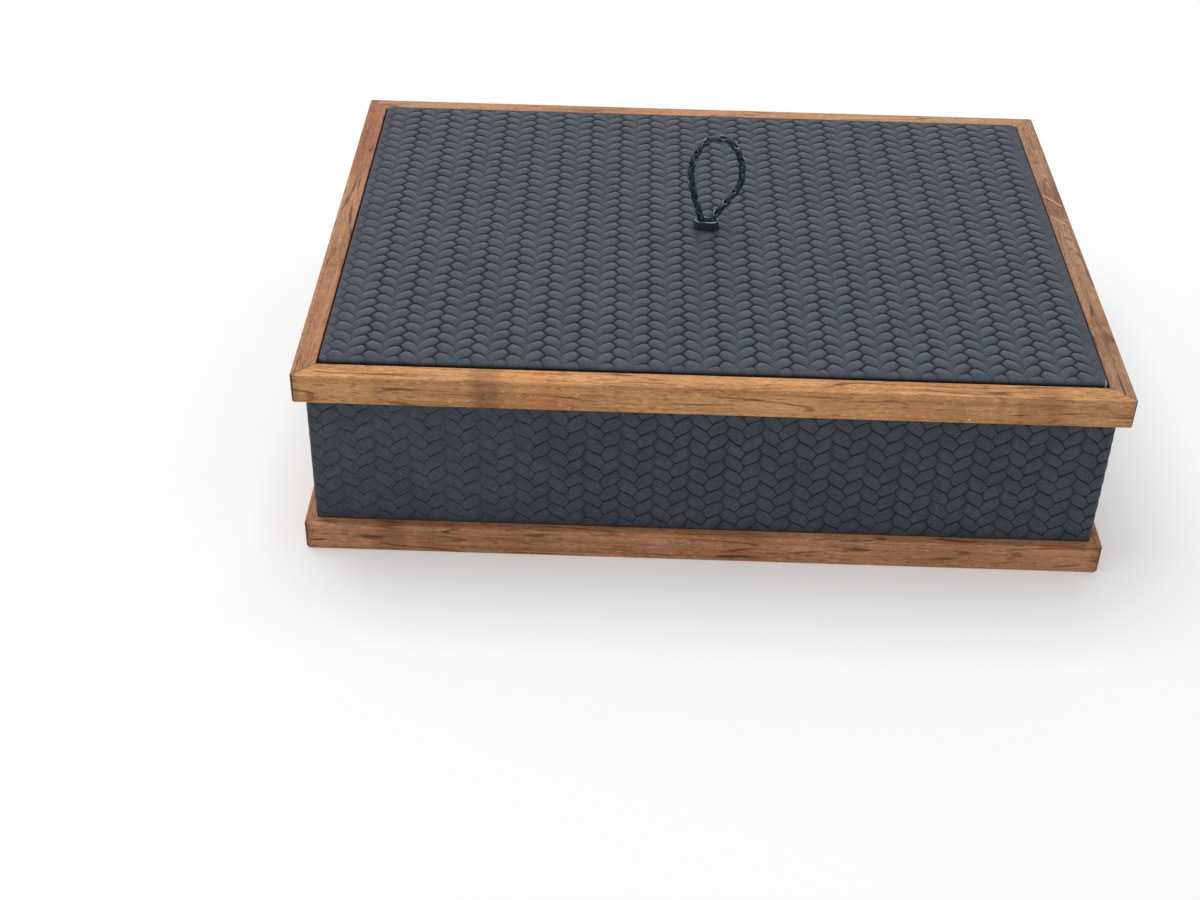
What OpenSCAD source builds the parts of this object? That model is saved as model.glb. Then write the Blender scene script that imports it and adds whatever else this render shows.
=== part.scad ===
// Stationery box with a lift-off lid. The body is a box of boards wrapped in leather, standing in a
// mitred wooden frame. A like frame holds the lid's padded leather panel, with a cord loop to lift it by.
// Millimetres. The origin is under the middle of the box, +X to its right, +Y to its back, +Z up.

/* [Wooden frames] */
// Outside width of both frames, left to right
frame_w = 350; // [300:1:420]
// Outside depth of both frames, front to back
frame_d = 262; // [220:1:320]
// Height of the rails
rail_h = 13.5; // [12:0.5:18]
// Full width of the rails' stock, with the lip that carries a board
rail_w = 20; // [18:0.5:26]
// Width of the lid rails' top face, outside the leather panel
rail_top_w = 9.5; // [8:0.5:12]
// Bevel along the long edges of the rails
arris = 0.6; // [0.3:0.1:1]
// Bevel down the corners of the lid frame
lid_corner = 1; // [0.5:0.1:2]
// Bevel down the corners of the base frame
base_corner = 1.7; // [0.5:0.1:2.5]

/* [Body] */
// Height of the leather that shows between the two frames
body_h = 65; // [45:1:120]
// How far both frames stand out past the leather
ledge = 4.5; // [3:0.5:6]
// Thickness of the wall boards
wall_t = 6; // [5:0.5:8]
// Thickness of the leather
leather_t = 1.2; // [0.8:0.1:1.6]
// Depth of the leather that is turned in over the rim
turn_in = 12; // [8:1:20]
// Rounding of the leather at the body's upright corners
body_corner = 2; // [1.5:0.1:3]
// Thickness of the bottom board
bottom_t = 5; // [4:0.5:6]
// Thickness of the lined boards inside
lining_t = 2; // [1.5:0.5:3]

/* [Lid panel] */
// Height of the leather panel above its frame
panel_rise = 2.2; // [1:0.1:4]
// Gap between the leather panel and its frame
panel_gap = 0.7; // [0.4:0.1:1.5]
// Rounding of the panel's top edge
panel_edge = 2; // [1.5:0.1:2.5]
// Thickness of the padding under the leather
foam_t = 2.3; // [1.5:0.1:3]
// How deep the locating board reaches into the box
plug_depth = 4; // [3:0.5:6]
// Gap between the locating board and the leather rim
plug_gap = 0.6; // [0.4:0.1:1]

/* [Pull] */
// Diameter of the braided cord
cord_d = 3.4; // [3:0.1:3.6]
// Distance between the cord's two legs in the collar, middle to middle
leg_gap = 6; // [5:0.1:6.2]
// Width of the leather collar
collar_w = 11.6; // [11.6:0.1:14]
// Depth of the leather collar
collar_d = 6.4; // [6.2:0.1:8]
// Thickness of the collar's leather
collar_t = 1; // [0.8:0.1:1.1]
// Height of the collar above the panel
collar_h = 4; // [3:0.5:6]
// Height of the cord's bend above the collar
bend_h = 1.3; // [1.3:0.1:2]

/* [Hidden] */
$fn = 48;

// Heights, from the surface that the box stands on
rim_z = rail_h + body_h;
lid_top_z = rim_z + rail_h;
panel_top_z = lid_top_z + panel_rise;

// Body: leather outside, wall boards, turned-in leather, lined boards
body_w = frame_w - 2 * ledge;
body_d = frame_d - 2 * ledge;
wall_w = body_w - 2 * leather_t;
wall_d = body_d - 2 * leather_t;
wall_top_z = rim_z - leather_t;
turn_w = wall_w - 2 * wall_t;
turn_d = wall_d - 2 * wall_t;
well_w = turn_w - 2 * leather_t;
well_d = turn_d - 2 * leather_t;
plug_clear_z = 0.6;
lining_top_z = rim_z - plug_depth - plug_clear_z;
floor_z = rail_h + lining_t;
cover_t = 0.8;
cover_inset = 0.5;
overlap = 1;

// Lid panel, from the lip upwards: turned-under leather, board, padding, leather
panel_w = frame_w - 2 * rail_top_w - 2 * panel_gap;
panel_d = frame_d - 2 * rail_top_w - 2 * panel_gap;
foam_top_z = panel_top_z - leather_t;
board_top_z = foam_top_z - foam_t;
board_t = 4.5;
board_z = board_top_z - board_t;
lip_z = board_z - leather_t;
turn_under = 14;

// Locating board: a board with cloth over its bottom and sides
plug_w = well_w - 2 * plug_gap;
plug_d = well_d - 2 * plug_gap;
cloth_t = 1;

// Pull
collar_z = panel_top_z + collar_h;
bend_z = collar_z + bend_h;
slot_gap = 0.1;
washer_r = 8;
washer_t = 1;
leg_bore_gap = 0.1;
knot_core_r = 3.6;
knot_pitch = 2.9;
knot_z = board_z - washer_t - knot_pitch / 2 - cord_d / 2;
tail_top_z = bend_z - cord_d / 2 - 0.2;
// The loop's own line, across and up from the bend, leaning to the right as it stands
loop_route = [
    [-leg_gap / 2, 0], [-5, 6.5], [-7.2, 14], [-8.5, 21.5], [-8, 28.5], [-5.6, 34.5],
    [-2, 39], [2.8, 40.8], [7.8, 39.6], [11.8, 35.5], [14.2, 29.5], [15, 23.5],
    [14.2, 17.5], [11.3, 12], [7.4, 6.5], [leg_gap / 2, 0]
];
loop_sides = 8;
steps_per_stretch = 2;

// Colours
light_wood = [0.62, 0.38, 0.20];
dark_wood = [0.50, 0.29, 0.16];
board_brown = [0.66, 0.53, 0.38];
leather_grey = [0.20, 0.23, 0.26];
cloth_grey = [0.36, 0.37, 0.39];
foam_white = [0.88, 0.86, 0.80];
cord_black = [0.07, 0.08, 0.09];
brass = [0.72, 0.58, 0.30];

// ---- Wooden frames ----

// Outline of a lid rail from outside to inside: full height under the top face, and a lip inside it
module lid_rail_profile() {
    polygon([
        [0, arris], [arris, 0], [rail_w, 0], [rail_w, lip_z - rim_z],
        [rail_top_w, lip_z - rim_z], [rail_top_w, rail_h - arris / 2],
        [rail_top_w - arris / 2, rail_h], [arris, rail_h], [0, rail_h - arris]
    ]);
}

// Outline of a base rail: its top face outside the wall, and a rebate for the bottom board inside it
module base_rail_profile() {
    rebate_x = ledge + leather_t;
    polygon([
        [0, arris], [arris, 0], [rail_w, 0], [rail_w, rail_h - bottom_t],
        [rebate_x, rail_h - bottom_t], [rebate_x, rail_h], [arris, rail_h], [0, rail_h - arris]
    ]);
}

// One mitred rail along the front: the profile drawn out, both ends cut at 45 degrees to the corners
module front_rail(length, depth, corner) {
    intersection() {
        translate([-length / 2, -depth / 2, 0])
            rotate([90, 0, 90])
                linear_extrude(length)
                    children();
        linear_extrude(rail_h)
            polygon([
                [-length / 2 + corner / 2, -depth / 2 + corner / 2], [-length / 2 + corner, -depth / 2],
                [length / 2 - corner, -depth / 2], [length / 2 - corner / 2, -depth / 2 + corner / 2],
                [length / 2 - rail_w, -depth / 2 + rail_w], [-length / 2 + rail_w, -depth / 2 + rail_w]
            ]);
    }
}

// The four rails of a frame by their side: 0 front, 1 right, 2 rear, 3 left
module frame_rail(side, z, corner) {
    across = side % 2 == 0;
    translate([0, 0, z])
        rotate([0, 0, 90 * side])
            front_rail(across ? frame_w : frame_d, across ? frame_d : frame_w, corner)
                children();
}

module base_rail(side) {
    color(dark_wood)
        frame_rail(side, 0, base_corner)
            base_rail_profile();
}

module lid_rail(side) {
    color(light_wood)
        frame_rail(side, rim_z, lid_corner)
            lid_rail_profile();
}

module base_rail_front() { base_rail(0); }
module base_rail_right() { base_rail(1); }
module base_rail_rear() { base_rail(2); }
module base_rail_left() { base_rail(3); }
module lid_rail_front() { lid_rail(0); }
module lid_rail_right() { lid_rail(1); }
module lid_rail_rear() { lid_rail(2); }
module lid_rail_left() { lid_rail(3); }

// ---- Plain shapes ----

// A flat board, centred, standing on height z
module board(w, d, t, z) {
    translate([-w / 2, -d / 2, z])
        cube([w, d, t]);
}

// A rectangle with round corners, centred
module round_rect(w, d, r) {
    square([w - 2 * r, d], center = true);
    square([w, d - 2 * r], center = true);
    for (x = [-1, 1], y = [-1, 1])
        translate([x * (w / 2 - r), y * (d / 2 - r)])
            circle(r);
}

// A slot with round ends, centred
module slot(w, d) {
    square([w - d, d], center = true);
    for (x = [-1, 1])
        translate([x * (w - d) / 2, 0])
            circle(d / 2);
}

// A block whose upright corners and top edges are rounded, from height z up to the top
module soft_block(w, d, z, top, r) {
    translate([0, 0, z])
        linear_extrude(top - r - z)
            round_rect(w, d, r);
    board(w - 2 * r, d - 2 * r, top - z, z);
    for (y = [-1, 1])
        translate([-w / 2 + r, y * (d / 2 - r), top - r])
            rotate([0, 90, 0])
                cylinder(h = w - 2 * r, r = r);
    for (x = [-1, 1])
        translate([x * (w / 2 - r), d / 2 - r, top - r])
            rotate([90, 0, 0])
                cylinder(h = d - 2 * r, r = r);
    for (x = [-1, 1], y = [-1, 1])
        translate([x * (w / 2 - r), y * (d / 2 - r), top - r])
            sphere(r);
}

// ---- Body ----

// The floor of the box, dropped into the rebate of the base frame
module bottom_board() {
    color(board_brown)
        board(wall_w, wall_d, bottom_t, rail_h - bottom_t);
}

// Cloth-faced sheet that closes the underside inside the base frame
module base_cover() {
    color(cloth_grey)
        board(
            frame_w - 2 * rail_w - 2 * cover_inset, frame_d - 2 * rail_w - 2 * cover_inset,
            cover_t, rail_h - bottom_t - cover_t
        );
}

// The wall boards stand on the bottom board; the front and rear ones run the full width
module long_wall(back) {
    color(board_brown)
        translate([-wall_w / 2, back ? wall_d / 2 - wall_t : -wall_d / 2, rail_h])
            cube([wall_w, wall_t, wall_top_z - rail_h]);
}

module short_wall(right) {
    color(board_brown)
        translate([right ? wall_w / 2 - wall_t : -wall_w / 2, -wall_d / 2 + wall_t, rail_h])
            cube([wall_t, wall_d - 2 * wall_t, wall_top_z - rail_h]);
}

module wall_front() { long_wall(false); }
module wall_rear() { long_wall(true); }
module wall_left() { short_wall(false); }
module wall_right() { short_wall(true); }

// One strip of leather round the body, over the rim and down the inside of the walls
module body_leather() {
    color(leather_grey)
        difference() {
            translate([0, 0, rail_h])
                linear_extrude(body_h)
                    round_rect(body_w, body_d, body_corner);
            board(wall_w, wall_d, wall_top_z - rail_h + overlap, rail_h - overlap);
            board(turn_w, turn_d, body_h, rail_h + overlap);
        }
    color(leather_grey)
        difference() {
            board(turn_w, turn_d, turn_in, rim_z - turn_in);
            board(well_w, well_d, turn_in + 2 * overlap, rim_z - turn_in - overlap);
        }
}

// Lined boards stand on the lined floor, in front of the turned-in leather
module long_lining(back) {
    color(cloth_grey)
        translate([-well_w / 2, back ? well_d / 2 - lining_t : -well_d / 2, floor_z])
            cube([well_w, lining_t, lining_top_z - floor_z]);
}

module short_lining(right) {
    color(cloth_grey)
        translate([right ? well_w / 2 - lining_t : -well_w / 2, -well_d / 2 + lining_t, floor_z])
            cube([lining_t, well_d - 2 * lining_t, lining_top_z - floor_z]);
}

module lining_front() { long_lining(false); }
module lining_rear() { long_lining(true); }
module lining_left() { short_lining(false); }
module lining_right() { short_lining(true); }

module lining_floor() {
    color(cloth_grey)
        board(well_w, well_d, lining_t, rail_h);
}

// ---- Lid panel ----

// The slot that the collar passes through
module collar_slot(z, h) {
    translate([0, 0, z])
        linear_extrude(h)
            slot(collar_w + 2 * slot_gap, collar_d + 2 * slot_gap);
}

// Stiff board that the leather is stretched over
module lid_board() {
    color(board_brown)
        difference() {
            board(panel_w - 2 * leather_t, panel_d - 2 * leather_t, board_t, board_z);
            collar_slot(board_z - overlap, board_t + 2 * overlap);
        }
}

// Padding between the board and the leather
module lid_foam() {
    color(foam_white)
        difference() {
            soft_block(
                panel_w - 2 * leather_t, panel_d - 2 * leather_t,
                board_top_z, foam_top_z, panel_edge - leather_t
            );
            collar_slot(board_top_z - overlap, foam_t + 2 * overlap);
        }
}

// Leather over the padding, down the board's edges, and turned under them
module lid_leather() {
    color(leather_grey)
        difference() {
            soft_block(panel_w, panel_d, lip_z, panel_top_z, panel_edge);
            board(panel_w - 2 * leather_t, panel_d - 2 * leather_t, board_t, board_z);
            soft_block(
                panel_w - 2 * leather_t, panel_d - 2 * leather_t,
                board_top_z - overlap, foam_top_z, panel_edge - leather_t
            );
            board(
                panel_w - 2 * turn_under, panel_d - 2 * turn_under,
                leather_t + 2 * overlap, lip_z - overlap
            );
            collar_slot(foam_top_z - overlap, leather_t + 2 * overlap);
        }
}

// Board under the lip that drops into the box
module plug_board() {
    color(board_brown)
        board(plug_w - 2 * cloth_t, plug_d - 2 * cloth_t, plug_depth - cloth_t, rim_z - plug_depth + cloth_t);
}

// Cloth over the plug board's bottom and sides
module plug_lining() {
    color(cloth_grey)
        difference() {
            board(plug_w, plug_d, plug_depth, rim_z - plug_depth);
            board(plug_w - 2 * cloth_t, plug_d - 2 * cloth_t, plug_depth, rim_z - plug_depth + cloth_t);
        }
}

// ---- Pull ----

// Oval leather sleeve round the foot of the loop, down to the underside of the board
module pull_collar() {
    color(leather_grey)
        translate([0, 0, board_z])
            linear_extrude(collar_z - board_z)
                difference() {
                    slot(collar_w, collar_d);
                    slot(collar_w - 2 * collar_t, collar_d - 2 * collar_t);
                }
}

// Disc that spans the slot under the board, with a hole for each leg of the cord
module pull_washer() {
    color(brass)
        translate([0, 0, board_z - washer_t])
            difference() {
                cylinder(h = washer_t, r = washer_r);
                for (x = [-1, 1])
                    translate([x * leg_gap / 2, 0, -overlap])
                        cylinder(h = washer_t + 2 * overlap, r = cord_d / 2 + leg_bore_gap);
            }
}

// The cord's two tails, and the barrel knot of two turns under the washer
module pull_knot() {
    color(cord_black) {
        for (x = [-1, 1])
            translate([x * leg_gap / 2, 0, knot_z])
                cylinder(h = tail_top_z - knot_z, r = cord_d / 2);
        translate([0, 0, knot_z])
            rotate_extrude()
                union() {
                    translate([0, -knot_pitch / 2])
                        square([knot_core_r, knot_pitch]);
                    for (z = [-1, 1])
                        translate([knot_core_r, z * knot_pitch / 2])
                            circle(cord_d / 2);
                }
    }
}

// A smooth line through the route's points
function before(p, i) = i == 0 ? 2 * p[0] - p[1] : p[i - 1];
function after(p, i) = i + 2 > len(p) - 1 ? 2 * p[len(p) - 1] - p[len(p) - 2] : p[i + 2];
function on_stretch(p, i, t) =
    let (a = before(p, i), b = p[i], c = p[i + 1], d = after(p, i))
    0.5 * (2 * b + (c - a) * t + (2 * a - 5 * b + 4 * c - d) * t * t + (3 * b - a - 3 * c + d) * t * t * t);
function smooth_line(p, n) = concat(
    [for (i = [0 : len(p) - 2], k = [0 : n - 1]) on_stretch(p, i, k / n)],
    [p[len(p) - 1]]
);
function unit(v) = v / norm(v);
function direction(line, i) =
    unit(line[min(i + 1, len(line) - 1)] - line[max(i - 1, 0)]);

// A ring of points round one point of the line, which lies in the upright plane through the box's middle
function ring(c, t, r) = [
    for (k = [0 : loop_sides - 1])
        let (a = 360 * (k + 0.5) / loop_sides)
        [c[0] - t[1] * r * cos(a), r * sin(a), c[1] + t[0] * r * cos(a)]
];

// A round end: rings that close in beyond the line's end
function round_end(c, t, r, angles) = [for (a = angles) each ring(c + t * r * sin(a), t, r * cos(a))];

// The stretch of cord above the collar, one tube with round ends
module pull_loop() {
    line = smooth_line(loop_route, steps_per_stretch);
    last = len(line) - 1;
    r = cord_d / 2;
    first_t = direction(line, 0);
    last_t = direction(line, last);
    points = concat(
        round_end(line[0], first_t, r, [-75, -40]),
        [for (i = [0 : last]) each ring(line[i], direction(line, i), r)],
        round_end(line[last], last_t, r, [40, 75])
    );
    rings = len(points) / loop_sides;
    sides = [
        for (i = [0 : rings - 2], k = [0 : loop_sides - 1])
            let (a = i * loop_sides + k, b = i * loop_sides + (k + 1) % loop_sides)
            each [[a, b, b + loop_sides], [a, b + loop_sides, a + loop_sides]]
    ];
    near_end = [for (k = [1 : loop_sides - 2]) [0, k + 1, k]];
    base = (rings - 1) * loop_sides;
    far_end = [for (k = [1 : loop_sides - 2]) [base, base + k, base + k + 1]];
    color(cord_black)
        translate([0, 0, bend_z])
            polyhedron(points, concat(sides, near_end, far_end), convexity = 6);
}

base_rail_front();
base_rail_rear();
base_rail_left();
base_rail_right();
bottom_board();
base_cover();
wall_front();
wall_rear();
wall_left();
wall_right();
body_leather();
lining_front();
lining_rear();
lining_left();
lining_right();
lining_floor();
lid_rail_front();
lid_rail_rear();
lid_rail_left();
lid_rail_right();
lid_board();
lid_foam();
lid_leather();
plug_board();
plug_lining();
pull_collar();
pull_knot();
pull_washer();
pull_loop();
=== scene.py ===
from math import cos, hypot, pi, sin

import bmesh
import bpy
import numpy as np
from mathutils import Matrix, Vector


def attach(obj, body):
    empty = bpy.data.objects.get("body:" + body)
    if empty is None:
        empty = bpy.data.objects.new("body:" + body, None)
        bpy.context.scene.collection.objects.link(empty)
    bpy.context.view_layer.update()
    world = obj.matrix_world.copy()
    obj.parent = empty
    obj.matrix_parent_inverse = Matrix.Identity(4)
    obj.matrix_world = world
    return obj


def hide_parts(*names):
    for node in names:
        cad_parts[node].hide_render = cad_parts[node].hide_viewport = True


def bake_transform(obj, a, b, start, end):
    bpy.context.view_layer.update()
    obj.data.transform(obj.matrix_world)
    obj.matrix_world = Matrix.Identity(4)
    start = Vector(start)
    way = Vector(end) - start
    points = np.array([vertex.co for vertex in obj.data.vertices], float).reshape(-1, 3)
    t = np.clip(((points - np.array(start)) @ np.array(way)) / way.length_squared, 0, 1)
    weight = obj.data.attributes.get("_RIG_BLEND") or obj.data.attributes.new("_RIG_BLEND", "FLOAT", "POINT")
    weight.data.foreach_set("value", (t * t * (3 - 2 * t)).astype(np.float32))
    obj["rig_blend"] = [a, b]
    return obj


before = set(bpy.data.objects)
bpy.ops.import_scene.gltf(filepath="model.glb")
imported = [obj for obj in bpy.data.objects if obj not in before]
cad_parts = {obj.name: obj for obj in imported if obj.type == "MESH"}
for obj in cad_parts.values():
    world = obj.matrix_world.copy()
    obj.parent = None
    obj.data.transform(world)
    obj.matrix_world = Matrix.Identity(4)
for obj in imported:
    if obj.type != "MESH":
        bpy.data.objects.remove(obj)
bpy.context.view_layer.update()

MM = 0.001

# ---- Camera ----
# The place that the photograph was taken from, worked out from the corners of the two frames: standing in
# front of the box, a little left of its middle, looking down on the lid.
camera_data = bpy.data.cameras.new("camera")
camera_data.lens = 53.4188
camera_data.sensor_width = 36
camera = bpy.data.objects.new("camera", camera_data)
camera.location = (-0.03881141, -0.73707229, 0.50588345)
camera.rotation_euler = (0.93508, -0.01964, 0.02612)
bpy.context.scene.collection.objects.link(camera)
bpy.context.scene.camera = camera

# ---- Light and floor ----
# Even light from a pale room, a wide soft lamp overhead, and a pale floor that keeps the box's shadow.
# The camera, and whatever mirrors or shines through, sees the room as white.
FLOOR_HALF = 4.0
FLOOR_GLOW = 0.16

world = bpy.data.worlds.new("room")
bpy.context.scene.world = world
bpy.context.scene.view_settings.view_transform = "Standard"
world.use_nodes = True
room = world.node_tree
room.nodes.clear()
room_out = room.nodes.new("ShaderNodeOutputWorld")
room_mix = room.nodes.new("ShaderNodeMixShader")
room_light = room.nodes.new("ShaderNodeBackground")
room_seen = room.nodes.new("ShaderNodeBackground")
room_path = room.nodes.new("ShaderNodeLightPath")
room_light.inputs["Color"].default_value = (0.93, 0.97, 1.0, 1)
room_light.inputs["Strength"].default_value = 0.46
room_seen.inputs["Color"].default_value = (1, 1, 1, 1)
room_seen.inputs["Strength"].default_value = 1.0
room_white = room_path.outputs["Is Camera Ray"]
for ray in ("Is Glossy Ray", "Is Transmission Ray"):
    either = room.nodes.new("ShaderNodeMath")
    either.operation = "MAXIMUM"
    room.links.new(room_white, either.inputs[0])
    room.links.new(room_path.outputs[ray], either.inputs[1])
    room_white = either.outputs[0]
room.links.new(room_white, room_mix.inputs["Fac"])
room.links.new(room_light.outputs[0], room_mix.inputs[1])
room.links.new(room_seen.outputs[0], room_mix.inputs[2])
room.links.new(room_mix.outputs[0], room_out.inputs["Surface"])

lamp_data = bpy.data.lights.new("lamp", "AREA")
lamp_data.shape = "SQUARE"
lamp_data.size = 2.6
lamp_data.energy = 62
lamp_data.color = (1.0, 0.985, 0.96)
lamp = bpy.data.objects.new("lamp", lamp_data)
lamp.location = (-0.5, 0.5, 2.9)
lamp.rotation_euler = (-0.17, -0.17, 0)
bpy.context.scene.collection.objects.link(lamp)


class Material:
    """A Principled material with short calls to add and join its nodes"""

    def __init__(self, name, roughness=0.6, **settings):
        self.data = bpy.data.materials.new(name)
        self.data.use_nodes = True
        self.tree = self.data.node_tree
        self.shader = self.tree.nodes["Principled BSDF"]
        self.shader.inputs["Roughness"].default_value = roughness
        for socket, value in settings.items():
            self.shader.inputs[socket.replace("_", " ")].default_value = value

    def node(self, kind, inputs=None, **settings):
        n = self.tree.nodes.new("ShaderNode" + kind)
        for key, value in settings.items():
            setattr(n, key, value)
        for key, value in (inputs or {}).items():
            self.put(n.inputs[key], value)
        return n

    def put(self, socket, value):
        if isinstance(value, bpy.types.NodeSocket):
            self.tree.links.new(value, socket)
        else:
            socket.default_value = value

    def math(self, operation, *values, clamp=False):
        n = self.node("Math", operation=operation, use_clamp=clamp)
        for socket, value in zip(n.inputs, values):
            self.put(socket, value)
        return n.outputs[0]

    def mix(self, factor, a, b, blend="MIX"):
        """Mixes two colours, which a Mix node takes in its inputs 6 and 7 and gives back in its output 2"""
        n = self.node("Mix", data_type="RGBA", blend_type=blend)
        self.put(n.inputs[0], factor)
        for socket, value in ((n.inputs[6], a), (n.inputs[7], b)):
            self.put(socket, value if isinstance(value, bpy.types.NodeSocket) else (*value, 1))
        return n.outputs[2]

    def ramp(self, factor, stops):
        n = self.node("ValToRGB", {"Fac": factor})
        while len(n.color_ramp.elements) < len(stops):
            n.color_ramp.elements.new(0.5)
        for element, (place, colour) in zip(n.color_ramp.elements, stops):
            element.position = place
            element.color = (*colour, 1) if hasattr(colour, "__len__") else (colour, colour, colour, 1)
        return n.outputs["Color"]

    def place(self, scale=(1, 1, 1), turn=(0, 0, 0), move=(0, 0, 0)):
        coords = self.node("TexCoord").outputs["Object"]
        turned = self.node("Mapping", {"Vector": coords, "Rotation": turn, "Location": move})
        return self.node("Mapping", {"Vector": turned.outputs[0], "Scale": scale}).outputs[0]

    def noise(self, vector, detail=2.0, rough=0.5, warp=0.0):
        return self.node("TexNoise", {
            "Vector": vector, "Scale": 1.0, "Detail": detail, "Roughness": rough, "Distortion": warp,
        }).outputs[0]

    def bump(self, height, strength, distance):
        return self.node("Bump", {"Height": height, "Strength": strength, "Distance": distance}).outputs[0]

    def finish(self, colour=None, normal=None, roughness=None):
        for name, value in (("Base Color", colour), ("Normal", normal), ("Roughness", roughness)):
            if value is not None:
                self.put(self.shader.inputs[name], value)
        return self.data


def mesh_object(name, bm, material, smooth=True):
    """Makes a bmesh an object in the scene, with its faces pointing outwards"""
    bmesh.ops.recalc_face_normals(bm, faces=bm.faces[:])
    if bm.calc_volume(signed=True) < 0:
        bmesh.ops.reverse_faces(bm, faces=bm.faces[:])
    mesh = bpy.data.meshes.new(name)
    bm.to_mesh(mesh)
    bm.free()
    mesh.materials.append(material)
    mesh.polygons.foreach_set("use_smooth", [smooth] * len(mesh.polygons))
    obj = bpy.data.objects.new(name, mesh)
    bpy.context.scene.collection.objects.link(obj)
    return obj


floor_paint = Material("floor_paint", roughness=0.9)
floor_paint.shader.inputs["Base Color"].default_value = (0.86, 0.86, 0.86, 1)
floor_seen = floor_paint.node("LightPath")
floor_white = floor_paint.math("MAXIMUM", floor_seen.outputs["Is Camera Ray"], floor_paint.math(
    "MAXIMUM", floor_seen.outputs["Is Glossy Ray"], floor_seen.outputs["Is Transmission Ray"]))
floor_glow = floor_paint.math("MULTIPLY", floor_white, FLOOR_GLOW)
floor_paint.shader.inputs["Emission Color"].default_value = (1, 1, 1, 1)
floor_paint.put(floor_paint.shader.inputs["Emission Strength"], floor_glow)
floor_shape = bmesh.new()
bmesh.ops.create_grid(floor_shape, x_segments=2, y_segments=2, size=FLOOR_HALF)
floor = mesh_object("floor", floor_shape, floor_paint.finish())

# ---- Pull ----
# A round braid of four flat leather laces, bent into a standing loop. Its two legs go down through a short
# oval leather sleeve in the middle of the lid, and are knotted under a brass disc beneath the panel's board.
BEND_Z = 99.5
LEG_END_Z = 97.6
LEG_X = 3.0
BRAID_PITCH = 14.0
BRAID_STEP = 0.55
LACE_ORBIT = 1.14
LACE_WAVE = 0.17
LACE_HALF = (0.98, 0.47)
LACE_SIDES = 10
LACE_CUT_FROM = 0.93 * LACE_HALF[0]
LACE_DARK = (0.016, 0.023, 0.030)
LACE_LIGHT = (0.052, 0.070, 0.086)
LACE_CUT_EDGE = (0.36, 0.57, 0.66)
LOOP = [
    (-3, 0), (-5, 6.5), (-7.2, 14), (-8.5, 21.5), (-8, 28.5), (-5.6, 34.5), (-2, 39), (2.8, 40.8),
    (7.8, 39.6), (11.8, 35.5), (14.2, 29.5), (15, 23.5), (14.2, 17.5), (11.3, 12), (7.4, 6.5), (3, 0),
]


def between(a, b, c, d, t):
    """The point at t from b to c, on a smooth curve through all four"""
    return 0.5 * (2 * b + (c - a) * t + (2 * a - 5 * b + 4 * c - d) * t ** 2
                  + (3 * b - a - 3 * c + d) * t ** 3)


def loop_line(spacing):
    """Points along the loop's middle line, evenly spaced, from one leg in the sleeve to the other"""
    leg_end = LEG_END_Z - BEND_Z
    knots = np.array([(-LEG_X, leg_end)] + LOOP + [(LEG_X, leg_end)], float)
    last = len(knots) - 1
    fine = []
    for k in range(last):
        around_k = [knots[min(max(k + m, 0), last)] for m in (-1, 0, 1, 2)]
        fine += [between(*around_k, t) for t in np.arange(0, 1, 0.02)]
    fine = np.array(fine + [knots[last]])
    run = np.concatenate([[0], np.cumsum(np.linalg.norm(np.diff(fine, axis=0), axis=1))])
    at = np.linspace(0, run[-1], int(round(run[-1] / spacing)) + 1)
    line = np.zeros((len(at), 3))
    line[:, 0] = np.interp(at, run, fine[:, 0])
    line[:, 2] = np.interp(at, run, fine[:, 1]) + BEND_Z
    return line, at


def unit(vectors):
    return vectors / np.linalg.norm(vectors, axis=1)[:, None]


def join_rings(bm, rings):
    """Faces from each ring of vertices to the next"""
    count = len(rings[0])
    for a, b in zip(rings, rings[1:]):
        for k in range(count):
            bm.faces.new((a[k], a[(k + 1) % count], b[(k + 1) % count], b[k]))


def lace_section():
    """Points round a lace: flat, with round edges"""
    points = []
    for m in range(LACE_SIDES):
        a = 2 * pi * (m + 0.5) / LACE_SIDES
        points.append((np.sign(cos(a)) * abs(cos(a)) ** 0.7 * LACE_HALF[0],
                       np.sign(sin(a)) * abs(sin(a)) ** 0.8 * LACE_HALF[1]))
    return points


def braid(line, at):
    """Four laces, two winding each way round the line, passing over and under each other. Their raw edges
    are marked in the vertices."""
    side = np.tile([0.0, 1.0, 0.0], (len(line), 1))
    up = np.cross(unit(np.gradient(line, axis=0)), side)
    bm = bmesh.new()
    edge = bm.verts.layers.float.new("edge")
    for lace in range(4):
        way = 1 if lace < 2 else -1
        turn = way * 2 * pi * at / BRAID_PITCH + pi * (lace % 2) + (0 if way > 0 else pi / 2)
        orbit = LACE_ORBIT + way * LACE_WAVE * np.sin(4 * pi * at / BRAID_PITCH)
        out = np.cos(turn)[:, None] * side + np.sin(turn)[:, None] * up
        middle = line + orbit[:, None] * out
        along = unit(np.gradient(middle, axis=0))
        wide = unit(np.cross(along, out))
        thick = np.cross(wide, along)
        rings = []
        for k in range(len(line)):
            ring = []
            for x, y in lace_section():
                v = bm.verts.new((middle[k] + x * wide[k] + y * thick[k]) * MM)
                v[edge] = 1.0 if abs(x) > LACE_CUT_FROM else 0.0
                ring.append(v)
            rings.append(ring)
        join_rings(bm, rings)
        bm.faces.new(rings[0])
        bm.faces.new(rings[-1])
    return bm


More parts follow.
